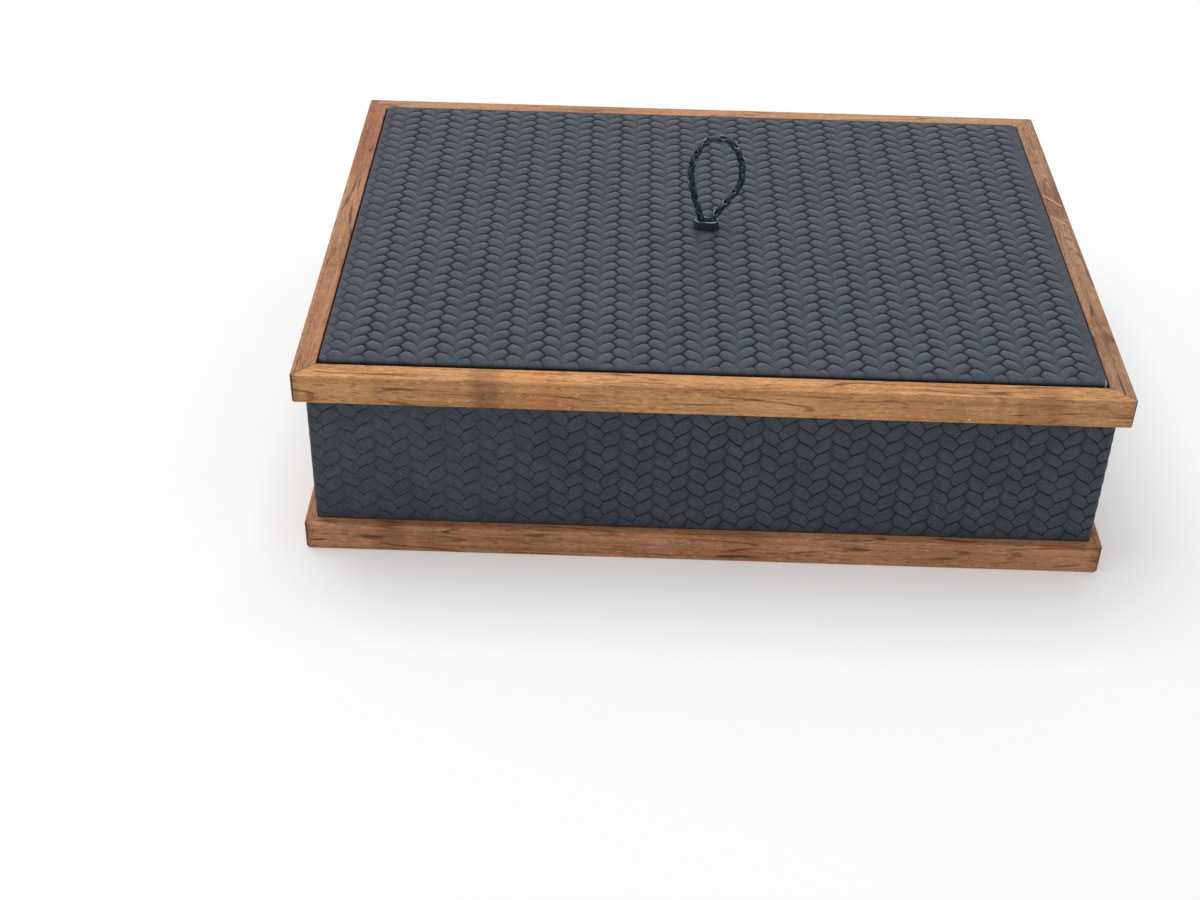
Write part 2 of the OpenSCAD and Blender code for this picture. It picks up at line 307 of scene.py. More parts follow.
lace = Material("braided_lace", roughness=0.42, Specular_IOR_Level=0.28)
lace_grain = lace.noise(lace.place((2600, 2600, 2600)), detail=3, rough=0.6)
lace_wear = lace.noise(lace.place((420, 420, 420)), detail=3, rough=0.65)
lace_edge = lace.node("Attribute", attribute_name="edge").outputs["Fac"]
lace_cut = lace.math("MULTIPLY", lace.ramp(lace_edge, [(0.7, 0), (0.95, 1)]),
                     lace.ramp(lace_wear, [(0.48, 0), (0.54, 1)]))
lace_face = lace.mix(lace_wear, LACE_DARK, LACE_LIGHT)
lace_colour = lace.mix(lace.math("MULTIPLY", lace_cut, 0.85), lace_face, LACE_CUT_EDGE)
pull_braid = mesh_object("pull_braid", braid(*loop_line(BRAID_STEP)), lace.finish(
    lace_colour, lace.bump(lace_grain, 0.5, 0.00015)))
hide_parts("pull_loop")
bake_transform(pull_braid, "lid", "pull", start=(0, 0, 0.0980), end=(0, 0, 0.1028))

# The sleeve's half width, half depth and height, up its outside, over its rim and into its mouth
SLEEVE_SKIN = [
    (5.8, 3.2, 86.25), (5.8, 3.2, 93.4), (5.85, 3.25, 94.6), (5.72, 3.16, 96.2), (5.6, 3.05, 97.6),
    (5.5, 3.0, 98.05), (5.36, 2.86, 98.2), (5.0, 2.6, 98.2), (4.86, 2.46, 98.05), (4.8, 2.3, 97.4),
]
SLEEVE_BORE = (4.8, 2.2)
SLEEVE_BORE_Z = (96.4, 94.0, 86.25)
SLEEVE_POINTS = 56
PUCKER = 0.07
PUCKER_FROM_Z = 93.5
RIM_FROM_Z = 97.5
RIM_WAVE = 0.12
LEG_ROOM = 1.85
WEB_HALF = 1.1
WEB_SLIT = 0.04
RAW_RIM_Z = 98.18
SLEEVE_DARK = (0.010, 0.014, 0.019)
SLEEVE_LIGHT = (0.042, 0.053, 0.064)
SLEEVE_CUT_EDGE = (0.42, 0.66, 0.72)


def stadium(half_w, half_d, count, z):
    """Points round a slot with round ends"""
    straight = half_w - half_d
    points = []
    for k in range(count):
        a = 2 * pi * (k + 0.5) / count
        middle = np.sign(cos(a)) * straight * min(1, abs(cos(a)) * 3)
        points.append((middle + half_d * cos(a), half_d * sin(a), z))
    return points


def lathe(loops):
    """A skin through loops of equally many points, one after the other and back to the first"""
    bm = bmesh.new()
    rings = [[bm.verts.new(np.array(p) * MM) for p in loop] for loop in loops]
    join_rings(bm, rings + rings[:1])
    return bm


def puckered(half_w, half_d, z):
    """A loop of the sleeve's skin, drawn in unevenly towards the rim, whose edge waves"""
    pucker = PUCKER * min(1.0, max(0.0, (z - PUCKER_FROM_Z) / 2))
    wave = RIM_WAVE if z > RIM_FROM_Z else 0
    return [(x * (1 + pucker * 0.15 * sin(k * 1.7)), y * (1 + pucker * sin(k * 0.9)),
             z + wave * sin(k * 0.45))
            for k, (x, y, _) in enumerate(stadium(half_w, half_d, SLEEVE_POINTS, z))]


def between_legs(x, y, z):
    """Draws a point of the bore in, so that the leather closes the gap between the cord's two legs"""
    x = np.sign(x) * max(abs(x), WEB_HALF)
    room = LEG_ROOM ** 2 - (LEG_X - min(abs(x), LEG_X)) ** 2
    return x, np.sign(y) * min(abs(y), max(room, WEB_SLIT ** 2) ** 0.5), z


sleeve_loops = [puckered(*row) for row in SLEEVE_SKIN]
for z in SLEEVE_BORE_Z:
    sleeve_loops.append([between_legs(*point) for point in stadium(*SLEEVE_BORE, SLEEVE_POINTS, z)])
sleeve = Material("sleeve_leather", roughness=0.5, Specular_IOR_Level=0.28)
sleeve_grain = sleeve.noise(sleeve.place((1500, 1500, 1500)), detail=4, rough=0.6)
sleeve_z = sleeve.node("SeparateXYZ", {"Vector": sleeve.place()}).outputs["Z"]
sleeve_ragged = sleeve.math("ADD", sleeve_z, sleeve.math("MULTIPLY", sleeve_grain, 0.3 * MM))
sleeve_over = sleeve.math("SUBTRACT", sleeve_ragged, RAW_RIM_Z * MM)
sleeve_rim = sleeve.math("MULTIPLY", sleeve_over, 6000.0, clamp=True)
sleeve_face = sleeve.mix(sleeve_grain, SLEEVE_DARK, SLEEVE_LIGHT)
pull_sleeve = mesh_object("pull_sleeve", lathe(sleeve_loops), sleeve.finish(
    sleeve.mix(sleeve_rim, sleeve_face, SLEEVE_CUT_EDGE), sleeve.bump(sleeve_grain, 0.5, 0.0003)))
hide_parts("pull_collar")
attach(pull_sleeve, "lid")

# ---- Woven leather ----
# Thin leather, embossed with a plaited herringbone: slanted bricks in columns that lean left and right in
# turn. Every brick is domed, with a deep groove where two columns meet at a peak and a soft one between.
# The grooves are darkened with painted shade, and the bricks' far sides lightened with a painted highlight.

# Where a brick's points lie: along it, from the soft seam to the deep one, and across it, groove to groove
BRICK_ALONG = np.array([0, 0.10, 0.30, 0.53, 0.75, 0.915, 1.0])
BRICK_ACROSS = np.array([0, 0.075, 0.20, 0.36, 0.52, 0.68, 0.82, 0.935])
STEPS = len(BRICK_ALONG) - 1
ROWS = len(BRICK_ACROSS)
# How high a brick stands along its length, and how strongly the soft seam and its groove act there
DEEP_END = np.array([1.0, 1.0, 1.0, 1.0, 1.0, 0.86, 0.0])
SOFT_END = np.array([1.0, 0.55, 0.12, 0.0, 0.0, 0.0, 0.0])
# How far the bricks' ends interlock along their length, at the deep and at the soft seam
DEEP_ZIG = ([0.5, 0.76, 0.92, 1], [0, 0.40, 0.87, 1])
SOFT_ZIG = ([0, 0.1, 0.3, 0.53], [1, 0.86, 0.35, 0])
# How strong the painted highlight on a brick's far side is, across it and along it
CREST_ACROSS = np.array([0, 0, 0, 0.1, 0.3, 0.7, 1.0, 0.7])
CREST_ALONG = np.array([0.1, 0.4, 0.9, 1.0, 1.0, 0.5, 0])
DOME_FLATNESS = 2.3
DOME_ROUNDNESS = 0.62
SOFT_REACH = 0.45
UNEVEN_HEIGHT = (0.86, 1.1)
UNEVEN_SIZE = (5.3, 4.7)
RELIEF = 0.62
DUST = (0.20, 0.25, 0.27)
LEATHER_CUT_EDGE = (0.26, 0.42, 0.45)
RAW_CORNER = (163.8, -120.3)
# The height below which the lid leather gets painted shade, in the gap by the rails
SHADE_TOP_Z = 92.9


def wander(luck, u, v, size):
    """Smooth random values from -1 to 1 over a sheet, for the unevenness of hand-set bricks"""
    a, b = (u - u.min()) / size, (v - v.min()) / size
    i, j = a.astype(int), b.astype(int)
    grid = luck.uniform(-1, 1, (i.max() + 2, j.max() + 2))
    s, t = ((x * x * (3 - 2 * x)) for x in (a - i, b - j))
    return ((grid[i, j] * (1 - s) + grid[i + 1, j] * s) * (1 - t)
            + (grid[i, j + 1] * (1 - s) + grid[i + 1, j + 1] * s) * t)


def weave(periods, courses, width, height, seed, rise, zigs, soft_height, lines, fade, spread, crest_highlight, stray):
    """Columns of points across and rows of points up a sheet of the weave, its relief and its grooves, and a
    mask of painted shade in the grooves, with a painted highlight on the crests stored below zero.
    rise: how a brick climbs and bends. zigs: how far bricks interlock at the deep and at the soft seam.
    soft_height: how high a brick stands at the soft seam. lines: how dark the painted shade in the grooves is
    at the deep and at the soft seam. fade: how far from the soft seam a side groove's painted shade is at its
    darkest. spread: how dark the painted shade on a groove's flanks is. crest_highlight: how pale the painted
    highlight on the far side of a brick is, stored below zero. stray: how uneven the bricks are."""
    luck = np.random.RandomState(seed)
    i, j = np.meshgrid(np.arange(2 * STEPS * periods + 1), np.arange(ROWS * courses + 1), indexing="ij")
    period, column = i // (2 * STEPS), i % (2 * STEPS)
    lean_right = column < STEPS
    step = np.where(lean_right, column, 2 * STEPS - column)
    row = np.where(lean_right, j, j + ROWS // 2)
    place = row % ROWS
    p = BRICK_ALONG[step]

    def course(j):
        return j // ROWS + BRICK_ACROSS[j % ROWS]
    right, left = course(j), course(j + ROWS // 2) - 0.5
    own = np.where(lean_right, right, left)
    other = np.where(lean_right, left, right)
    seam_column = step % STEPS == 0
    climb = 0.5 * width * (rise[0] * p + rise[1] * p ** 2)
    v = height * np.where(seam_column, 0.5 * (own + other), own) + climb
    zig = 2 * np.abs((j % ROWS) / (ROWS / 2) - 1) - 1
    deep = np.interp(p, *DEEP_ZIG) * zigs[0] * -zig
    soft = np.interp(p, *SOFT_ZIG) * zigs[1] * zig
    u = width * (period + np.where(lean_right, 0.5 * p, 1 - 0.5 * p)) + deep + soft

    dome = np.maximum(1 - np.abs(2 * BRICK_ACROSS[place] - 1) ** DOME_FLATNESS, 0) ** DOME_ROUNDNESS
    floor = soft_height * np.maximum(1 - p / SOFT_REACH, 0)
    half_column, brick_row = 2 * period + np.where(lean_right, 0, 1), row // ROWS
    taste = luck.uniform(*UNEVEN_HEIGHT, (half_column.max() + 1, brick_row.max() + 1))[half_column, brick_row]
    end = DEEP_END[step] * (1 - (1 - soft_height) * SOFT_END[step])
    relief = end * (floor + (1 - floor) * dome) * np.where(seam_column, 1.0, taste)
    relief = np.where(column == 0, soft_height * 0.8, relief)

    # Painted shade: darkest on each groove, lighter on its flanks, and set by the deep and the soft seam
    side_line = np.array([1, spread, 0.3 * spread, 0, 0, 0, 0, 0.3 * spread])[place]
    side_line = side_line * np.minimum(1, lines[1] + (1 - lines[1]) * p / fade)
    deep_line = lines[0] * np.array([0, 0, 0, 0, 0, 0.9 * spread, 1.0])[step]
    soft_line = 0.8 * lines[1] * SOFT_END[step] ** 2
    seam_shade = np.maximum(side_line, np.maximum(deep_line, soft_line))
    # Painted highlight on the far side of each brick, stored below zero
    seam_shade = seam_shade - crest_highlight * CREST_ACROSS[place] * CREST_ALONG[step] * np.maximum(1 - 1.8 * seam_shade, 0) * taste
    ends = np.minimum(1, np.minimum(u - u.min(), u.max() - u) / width)
    across, up = (wander(luck, u, v, size) for size in UNEVEN_SIZE)
    return u + stray * ends * across, v + stray * ends * up, relief, seam_shade


def sheet(u, v, relief, seam_shade):
    """The weave as a flat mesh: across, up, and the relief as its height, in millimetres"""
    bm = bmesh.new()
    mark = bm.verts.layers.float.new("seam_shade")
    columns, rows = u.shape
    verts = [[bm.verts.new((u[i, j], v[i, j], relief[i, j])) for j in range(rows)] for i in range(columns)]
    for i in range(columns):
        for j in range(rows):
            verts[i][j][mark] = seam_shade[i, j]
    for i in range(columns - 1):
        for j in range(rows - 1):
            bm.faces.new((verts[i][j], verts[i + 1][j], verts[i + 1][j + 1], verts[i][j + 1]))
    return bm


def cut(bm, point, normal, snap=0.06):
    """Cuts off what lies beyond a plane"""
    bmesh.ops.bisect_plane(bm, geom=bm.verts[:] + bm.edges[:] + bm.faces[:], dist=snap, plane_co=point,
                           plane_no=normal, clear_outer=True, clear_inner=False)


def border(bm, near):
    """The open edges whose two ends both lie where they are wanted"""
    return [e for e in bm.edges if e.is_boundary and all(near(v.co) for v in e.verts)]


def grow(bm, edges, places, seam_shade_fade):
    """Draws rings out from an edge of the sheet. Each ring has a rule from its first point to its place."""
    mark = bm.verts.layers.float["seam_shade"]
    start = {v: (v.co.copy(), v[mark]) for e in edges for v in e.verts}
    for ring, place in enumerate(places):
        made = bmesh.ops.extrude_edge_only(bm, edges=edges)["geom"]
        new_edges = [g for g in made if isinstance(g, bmesh.types.BMEdge) and g.is_boundary]
        new_verts = {v for e in new_edges for v in e.verts}
        old = {v for e in edges for v in e.verts}
        following = {}
        for v in new_verts:
            for e in v.link_edges:
                back = e.other_vert(v)
                if back in old:
                    following[v] = start[back]
        for v, (co, s) in following.items():
            v.co = place(co)
            v[mark] = s * seam_shade_fade[min(ring, len(seam_shade_fade) - 1)]
        start = following
        edges = new_edges
    return edges


def soft_step(x, a, b):
    """Rises smoothly from 0 at a to 1 at b"""
    t = np.clip((x - a) / (b - a), 0, 1)
    return t * t * (3 - 2 * t)


def woven_material(name, light, dark, crest_highlight, shade_colour, shine, foot_shade_and_cut_edge=False):
    """Pebbled matt leather, with painted shade in its grooves and a painted highlight on its crests, both
    marked in the vertices.
    foot_shade_and_cut_edge: painted shade on the leather along the panel's foot, in the gap by the rails,
    and the leather's pale cut edge at its front right corner."""
    m = Material(name, roughness=0.5, Specular_IOR_Level=shine)
    fine = m.noise(m.place((2300, 2300, 2300)), detail=3, rough=0.6)
    pebble = m.node("TexVoronoi", {"Vector": m.place((1, 1, 1)), "Scale": 1250.0}, feature="SMOOTH_F1")
    cloud = m.noise(m.place((26, 26, 26)), detail=4, rough=0.6)
    speck = m.noise(m.place((900, 900, 900)), detail=1, rough=0.4)
    seam_shade = m.node("Attribute", attribute_name="seam_shade").outputs["Fac"]
    colour = m.mix(m.ramp(cloud, [(0.32, 0), (0.68, 1)]), dark, light)
    colour = m.mix(m.ramp(fine, [(0.35, 0.0), (0.65, 0.9)]), colour, dark)
    tint = m.ramp(m.noise(m.place((115, 115, 115)), detail=1), [(0.40, 0), (0.60, 0.6)])
    colour = m.mix(tint, colour, (light[0] * 1.1, light[1] * 0.97, light[2] * 0.97))
    grit = m.ramp(m.noise(m.place((560, 560, 560)), detail=3, rough=0.75), [(0.42, 0.42), (0.54, 0)])
    colour = m.mix(grit, colour, tuple(0.6 * c for c in dark))
    # Painted highlight on the crests, where the mask is below zero
    colour = m.mix(m.math("MULTIPLY", m.math("MULTIPLY", seam_shade, -1.0, clamp=True), 0.55), colour, crest_highlight)
    # Painted shade in the grooves, where the mask is above zero
    colour = m.mix(m.ramp(seam_shade, [(0, 0), (0.15, 0.30), (0.38, 0.88), (1.0, 0.97)]), colour, shade_colour)
    dust = m.math("MULTIPLY", m.math("GREATER_THAN", speck, 0.795), 0.35)
    colour = m.mix(dust, colour, DUST)
    if foot_shade_and_cut_edge:
        xyz = m.node("SeparateXYZ", {"Vector": m.place()})
        # Painted shade on the leather low on the panel, in the gap by the rails
        low = m.math("MULTIPLY", m.math("SUBTRACT", SHADE_TOP_Z * MM, xyz.outputs["Z"]), 1400.0, clamp=True)
        colour = m.mix(m.math("MULTIPLY", low, 0.85), colour, shade_colour)
        dx = m.math("ABSOLUTE", m.math("SUBTRACT", xyz.outputs["X"], RAW_CORNER[0] * MM))
        dy = m.math("ABSOLUTE", m.math("SUBTRACT", xyz.outputs["Y"], RAW_CORNER[1] * MM))
        near = m.math("LESS_THAN", m.math("ADD", dx, m.math("MULTIPLY", dy, 0.25)), 0.8 * MM)
        colour = m.mix(m.math("MULTIPLY", near, 0.9), colour, LEATHER_CUT_EDGE)
    height = m.math("ADD", m.math("MULTIPLY", pebble.outputs["Distance"], 0.8), fine)
    matt = m.math("MULTIPLY", fine, 0.16)
    rough = m.math("ADD", matt, m.math("ADD", m.math("MULTIPLY", seam_shade, 0.2), 0.40))
    return m.finish(colour, m.bump(height, 0.42, 0.00014), rough)


# ---- Lid leather ----
# The top skin of the padded panel: drawn over the padding, down the board's sides and turned under it. The
# weave flattens at the margins, where it is stretched hardest, and round the sleeve of the pull.
PANEL = (164.8, 120.8)
PANEL_TOP = 94.2
PANEL_FOOT_Z = 85.05
EDGE_R = 2.0
EDGE_DROP = 0.6
FLAT = (PANEL[0] - EDGE_R, PANEL[1] - EDGE_R)
PLAN_R = 0.8
LID_THICKNESS = 1.25
LID_TURNED_IN = 12
LID_UNDERSIDE_Z = 92.3
LID_PERIODS, LID_COURSES = 24, 36
LID_PERIOD = 14.92
LID_COURSE = LID_PERIOD / 2
LID_SHIFT = (3.5, -0.9)
LID_GROOVE_DEPTH = 0.5
LID_RELIEF = 0.75 * RELIEF
SAG = 0.45
SLOT_HALF = 2.6
SLOT_R = 3.3


def lid_margin(u, v):
    """How much of its relief the weave keeps: little along the edges and round the sleeve, all elsewhere"""
    ragged = 1.2 * np.sin(u * 0.37) + 0.9 * np.sin(v * 0.53)
    edge = np.minimum(soft_step(FLAT[0] - np.abs(u) + ragged, 0, 7),
                      soft_step(FLAT[1] + 1 - np.abs(v), 0, 5))
    from_slot = np.hypot(np.maximum(np.abs(u) - SLOT_HALF, 0), v) - SLOT_R
    return np.minimum(0.12 + 0.88 * edge, 0.1 + 0.9 * soft_step(from_slot, 0.3, 5.0))


def trim_lid(bm):
    """Cuts the sheet to the panel's flat top, with its rounded corners"""
    for sx in (-1, 1):
        cut(bm, (sx * FLAT[0], 0, 0), (sx, 0, 0))
        cut(bm, (0, sx * FLAT[1], 0), (0, sx, 0))
        for sy in (-1, 1):
            for a in (pi / 8, pi / 4, 3 * pi / 8):
                tip_x = sx * (FLAT[0] - PLAN_R + PLAN_R * cos(a))
                tip_y = sy * (FLAT[1] - PLAN_R + PLAN_R * sin(a))
                cut(bm, (tip_x, tip_y, 0), (sx * cos(a), sy * sin(a), 0), 0.02)


def open_slot(bm):
    """Makes the slot for the sleeve, and gives back its edge"""
    inside = [f for f in bm.faces if any(
        hypot(max(abs(q.co.x) - SLOT_HALF, 0), q.co.y) < SLOT_R for q in f.verts)]
    bmesh.ops.delete(bm, geom=inside, context="FACES")
    hole = border(bm, lambda co: abs(co.x) < 12 and abs(co.y) < 9)
    for vert in {q for e in hole for q in e.verts}:
        anchor = max(-SLOT_HALF, min(SLOT_HALF, vert.co.x))
        dx, dy = vert.co.x - anchor, vert.co.y
        far = max(hypot(dx, dy), 1e-6)
        vert.co.x, vert.co.y = anchor + dx / far * SLOT_R, dy / far * SLOT_R
    return hole


def panel_ring(off, z, follow=0.0):
    """The rule for a ring round the panel: how far outside its flat top, how high, and how much of the
    weave's relief it follows"""
    def place(co):
        if off < 0:
            return (co.x * (FLAT[0] + off) / FLAT[0], co.y * (FLAT[1] + off) / FLAT[1], z)
        nx = max(-(FLAT[0] - PLAN_R), min(FLAT[0] - PLAN_R, co.x))
        ny = max(-(FLAT[1] - PLAN_R), min(FLAT[1] - PLAN_R, co.y))
        far = max(hypot(co.x - nx, co.y - ny), 1e-9)
        reach = PLAN_R + off
        return (nx + (co.x - nx) / far * reach, ny + (co.y - ny) / far * reach,
                z + follow * (co.z - (PANEL_TOP - 0.75)))
    return place


def lid_skin():
    u, v, relief, seam_shade = weave(
        LID_PERIODS, LID_COURSES, LID_PERIOD, LID_COURSE, seed=3, rise=(1.28, -0.76), zigs=(1.45, 0.5),
        soft_height=0.62, lines=(1.0, 0.16), fade=0.65, spread=0.26, crest_highlight=0.8, stray=0.32)
    u = u - LID_PERIODS // 2 * LID_PERIOD + LID_SHIFT[0] - 0.5 * LID_PERIOD
    v = v - LID_COURSES // 2 * LID_COURSE + LID_SHIFT[1]
    margin = lid_margin(u, v)
    sag = SAG * (1 - soft_step(np.minimum(FLAT[0] - np.abs(u), FLAT[1] - np.abs(v)), -2, 14))
    height = PANEL_TOP - LID_GROOVE_DEPTH + LID_RELIEF * relief * margin + 0.25 * (1 - margin) - sag
    # The painted groove shade and crest highlight fade with the relief at the margins and round the sleeve
    bm = sheet(u, v, height, seam_shade * (0.15 + 0.85 * margin))
    trim_lid(bm)
    hole = open_slot(bm)
    down = PANEL_TOP - EDGE_DROP - EDGE_R
    inner = EDGE_R - LID_THICKNESS
    places = [panel_ring(EDGE_R * sin(a), down + EDGE_R * cos(a), follow) for a, follow in (
        (pi * 0.11, 0.9), (pi * 0.22, 0.7), (pi * 0.34, 0.4), (pi * 0.5, 0))]
    places += [panel_ring(*ring) for ring in (
        (EDGE_R, 88.5), (EDGE_R, 85.4), (EDGE_R - 0.3, PANEL_FOOT_Z), (-LID_TURNED_IN, PANEL_FOOT_Z),
        (-LID_TURNED_IN, 86.15), (inner, 86.15), (inner, 91.0), (0.1, LID_UNDERSIDE_Z))]
    rim = border(bm, lambda co: max(abs(co.x) - FLAT[0], abs(co.y) - FLAT[1]) > -1.2)
    outer_end = grow(bm, rim, places, [0.9, 0.8, 0.7, 0.5, 0.3, 0])
    slot_end = grow(bm, hole, [lambda co: (co.x, co.y, LID_UNDERSIDE_Z)], [0])
    bmesh.ops.triangle_fill(bm, use_beauty=False, use_dissolve=False, edges=outer_end + slot_end,
                            normal=(0, 0, -1))
    bmesh.ops.scale(bm, vec=(MM, MM, MM), verts=bm.verts[:])
    return bm


lid_leather_look = woven_material(
    "woven_leather_lid", light=(0.080, 0.094, 0.116), dark=(0.060, 0.070, 0.087),
    crest_highlight=(0.150, 0.170, 0.200), shade_colour=(0.006, 0.009, 0.014), shine=0.07, foot_shade_and_cut_edge=True)
lid_weave = mesh_object("lid_weave", lid_skin(), lid_leather_look)
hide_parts("lid_leather")
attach(lid_weave, "lid")

# ---- Body leather ----
# One strip of the same leather round the four walls, the weave the other way up, its ends butted at the
# middle of the rear. It goes over the rim and is glued flat to the inner side of the wall boards.
BODY = (170.5, 126.5)
BODY_R = 2.0
RIM_Z, BODY_Z = 78.5, 13.5
SIDES = [BODY[0] - BODY_R, 2 * (BODY[1] - BODY_R), 2 * (BODY[0] - BODY_R), 2 * (BODY[1] - BODY_R),
         BODY[0] - BODY_R]
AROUND = sum(SIDES) + 2 * pi * BODY_R
BODY_PERIODS, BODY_COURSES = 79, 12
BODY_PERIOD, BODY_COURSE = AROUND / BODY_PERIODS, 7.27
BODY_SHIFT = 4.75
BODY_RELIEF = 0.45
BODY_GROOVE_DEPTH = 0.36
BODY_THICKNESS = 1.15
BODY_INSIDE = -8.4
BODY_TURNED_IN = 12.0


def around(run, out):
    """The plan point at a run along the body's outline from the rear middle, left side first, and outwards"""
    r = max(BODY_R + out, 0.2)
    hx, hy = BODY[0] + out - r, BODY[1] + out - r
    turn = BODY_R * pi / 2
    starts = [(0, hy), (-hx, hy), (-hx, -hy), (hx, -hy), (hx, hy)]
    heads = [(-1, 0), (0, -1), (1, 0), (0, 1), (-1, 0)]
    outs = [(0, 1), (-1, 0), (0, -1), (1, 0), (0, 1)]
    lengths = [hx, 2 * hy, 2 * hx, 2 * hy, hx]
    for k in range(5):
        (sx, sy), (ox, oy) = starts[k], outs[k]
        if run <= SIDES[k] or k == 4:
            t = min(run / SIDES[k], 1) * lengths[k]
            return (sx + heads[k][0] * t + ox * r, sy + heads[k][1] * t + oy * r)
        run -= SIDES[k]
        if run <= turn:
            a = run / turn * pi / 2
            (px, py), (cx, cy) = outs[k + 1], starts[k + 1]
            return (cx + r * (ox * cos(a) + px * sin(a)), cy + r * (oy * cos(a) + py * sin(a)))
        run -= turn


def body_ring(out, z, follow=0.0):
    """The rule for a ring round the body: how far outside its outline, how high, and how much of the
    weave's relief it follows"""
    return lambda co: (co.x, z, out + follow * (co.z + 0.2))


def body_skin():
    u, v, relief, seam_shade = weave(
        BODY_PERIODS, BODY_COURSES, BODY_PERIOD, BODY_COURSE, seed=8, rise=(0.46, -0.02), zigs=(1.4, 1.2),
        soft_height=0.3, lines=(0.62, 0.6), fade=0.4, spread=0.1, crest_highlight=0.25, stray=0.5)
    v = -(v - BODY_COURSES * BODY_COURSE) + BODY_SHIFT
    low, high = BODY_Z, RIM_Z - 1.0

    # The two ends of the strip meet in a dark line, and the relief runs out there
    from_end = np.minimum(u, AROUND - u)
    joint = soft_step(from_end, 0.1, 1.6)
    relief = relief * joint
    seam_shade = np.maximum(seam_shade * joint, 1 - soft_step(from_end, 0.0, 0.9))
    u = np.clip(u, 0, AROUND)
    u[0], u[-1], v[-1] = 0, AROUND, v[0]
    relief[0] = relief[-1] = 0

    # The relief is pressed flatter along the frames and towards the left of the front, and the painted
    # groove shade fades with it and is patchy
    margin = 0.35 + 0.65 * np.minimum(soft_step(v, low + 0.2, low + 3), soft_step(high - v, -1, 3))
    front_x = u - (AROUND / 2)
    worn = 1 - 0.45 * soft_step(-front_x, 10, 110) * (np.abs(front_x) < 172)
    columns, rows = u.shape
    patches = np.random.RandomState(5).uniform(0.6, 1.0, (columns // STEPS + 1, rows // (ROWS // 2) + 1))
    patchy = patches[np.arange(columns)[:, None] // STEPS, np.arange(rows)[None, :] // (ROWS // 2)]
    bm = sheet(u, v, relief * margin * worn * RELIEF * BODY_RELIEF - BODY_GROOVE_DEPTH,
               seam_shade * margin * worn * patchy)
    cut(bm, (0, low, 0), (0, -1, 0))
    cut(bm, (0, high, 0), (0, 1, 0))
    top = border(bm, lambda co: co.y > high - 0.07)
    bottom = border(bm, lambda co: co.y < low + 0.07)

    # Over the rim, down the inner side of the boards, and back up between the leather and the boards
    behind = BODY_INSIDE + BODY_THICKNESS
    places = [body_ring(*ring) for ring in (
        (-0.35, RIM_Z - 0.35, 0.5), (-1.1, RIM_Z - 0.02, 0.2), (-7.3, RIM_Z - 0.02), (-8.1, RIM_Z - 0.3),
        (BODY_INSIDE, RIM_Z - 1.1), (BODY_INSIDE, RIM_Z - BODY_TURNED_IN), (behind, RIM_Z - BODY_TURNED_IN),
        (behind, RIM_Z - 1.25), (-BODY_THICKNESS, RIM_Z - 1.25), (-BODY_THICKNESS, BODY_Z))]
    inner = grow(bm, top, places, [0.7, 0.4, 0])
    mark = bm.verts.layers.float["seam_shade"]
    for f in bmesh.ops.bridge_loops(bm, edges=inner + bottom)["faces"]:
        for q in f.verts:
            if q.co.z < -1.1:
                q[mark] = 0
    for q in bm.verts:
        run, z, out = q.co
        x, y = around(run, out)
        q.co = (x * MM, y * MM, z * MM)
    bmesh.ops.remove_doubles(bm, verts=bm.verts[:], dist=2e-6)
    return bm


body_leather_look = woven_material(
    "woven_leather_body", light=(0.080, 0.096, 0.118), dark=(0.059, 0.071, 0.089),
    crest_highlight=(0.112, 0.130, 0.155), shade_colour=(0.006, 0.008, 0.014), shine=0.12)
body_weave = mesh_object("body_weave", body_skin(), body_leather_look)
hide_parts("body_leather")
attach(body_weave, "box")

# ---- Wooden rails ----
# Eight mitred lengths of oiled hardwood, four to a frame, glued at the corners, with eased edges. Their
# grain runs along them. A hairline shows at each mitre.
FRAME = (350.0, 262.0)
RAIL_H, RAIL_W, TOP_W = 13.5, 20.0, 9.5
LIP = 6.5
REBATE = (5.7, 8.5)
RAIL_RINGS = 15
LID_TIP, BASE_TIP = 1.0, 1.7

# Corners of the two outlines: how far in from the outside, how high, and how much they are eased
LID_OUTLINE = [(0, 0, 0.5), (RAIL_W, 0, 0), (RAIL_W, LIP, 0), (TOP_W, LIP, 0), (TOP_W, RAIL_H, 0.45),
               (0, RAIL_H, 0.8)]
BASE_OUTLINE = [(0, 0, 0.6), (RAIL_W, 0, 0), (RAIL_W, REBATE[1], 0), (REBATE[0], REBATE[1], 0),
                (REBATE[0], RAIL_H, 0), (0, RAIL_H, 0.7)]
# Half of the gap at the left and right end of the front, right, rear and left rail
LID_GAPS = [(0.16, 0.07), (0.07, 0.10), (0.10, 0.07), (0.07, 0.16)]
BASE_GAPS = (0.08, 0.08)


def eased(corner, before, after, r, steps=3):
    """A rounded corner of an outline, between the points before and after it"""
    corner, before, after = (np.array(p, float) for p in (corner, before, after))
    a = corner + (before - corner) / np.linalg.norm(before - corner) * r
    b = corner + (after - corner) / np.linalg.norm(after - corner) * r
    out = []
    for k in range(steps + 1):
        t = k / steps
        out.append(tuple((1 - t) ** 2 * a + 2 * t * (1 - t) * corner + t ** 2 * b))
    return out


def rail_outline(corners, tip):
    """A rail's outline, with its corners eased and a point more on each flat that the mitre's tip crosses"""
    points = []
    for k, (s, z, r) in enumerate(corners):
        before, after = corners[k - 1][:2], corners[(k + 1) % len(corners)][:2]
        points += eased((s, z), before, after, r) if r else [(s, z)]
    finer = []
    for a, b in zip(points, points[1:] + points[:1]):
        finer.append(a)
        if min(a[0], b[0]) < tip / 2 < max(a[0], b[0]) and abs(a[1] - b[1]) < 0.01:
            finer.append((tip / 2, a[1]))
    return finer


